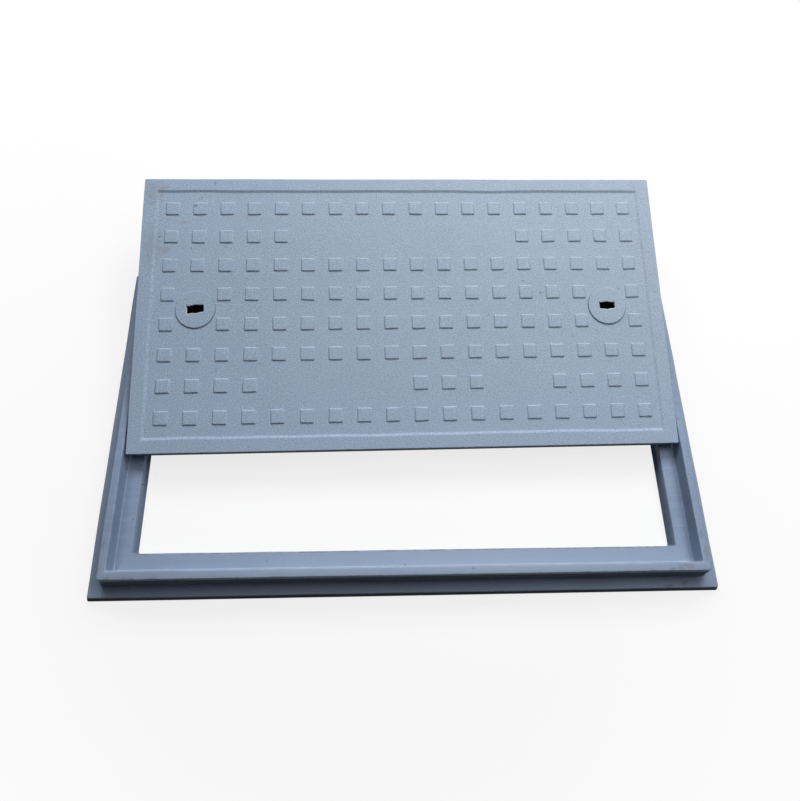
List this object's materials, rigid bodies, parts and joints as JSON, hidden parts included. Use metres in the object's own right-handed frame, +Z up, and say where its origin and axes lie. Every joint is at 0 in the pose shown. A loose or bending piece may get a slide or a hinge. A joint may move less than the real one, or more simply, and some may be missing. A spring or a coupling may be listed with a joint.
{
  "type": "inspection cover",
  "caption": "Rectangular composite inspection cover with studded top and two key sockets, slid back on its rebated frame.",
  "frame": {"origin": "middle of the whole object's footprint, on the plane that the frame beds on", "axes": "+X along the length of the frame, to the right; +Y towards the back, where the cover is slid to; +Z up"},
  "size_m": [1.046, 0.7428, 0.1417],
  "materials": {
    "frame_gelcoat": "blue-grey gel coat on fibre-reinforced resin, smooth moulded face with a slight sheen",
    "cover_gelcoat": "blue-grey gel coat on fibre-reinforced resin, fine sand-like grain, matte",
    "socket_gelcoat": "the same blue-grey gel coat as the cover, a little smoother"
  },
  "bodies": {
    "root": {"frame": "frame_gelcoat", "cover": "cover_gelcoat", "key_socket_left": "socket_gelcoat", "key_socket_right": "socket_gelcoat"}
  },
  "joints": []
}
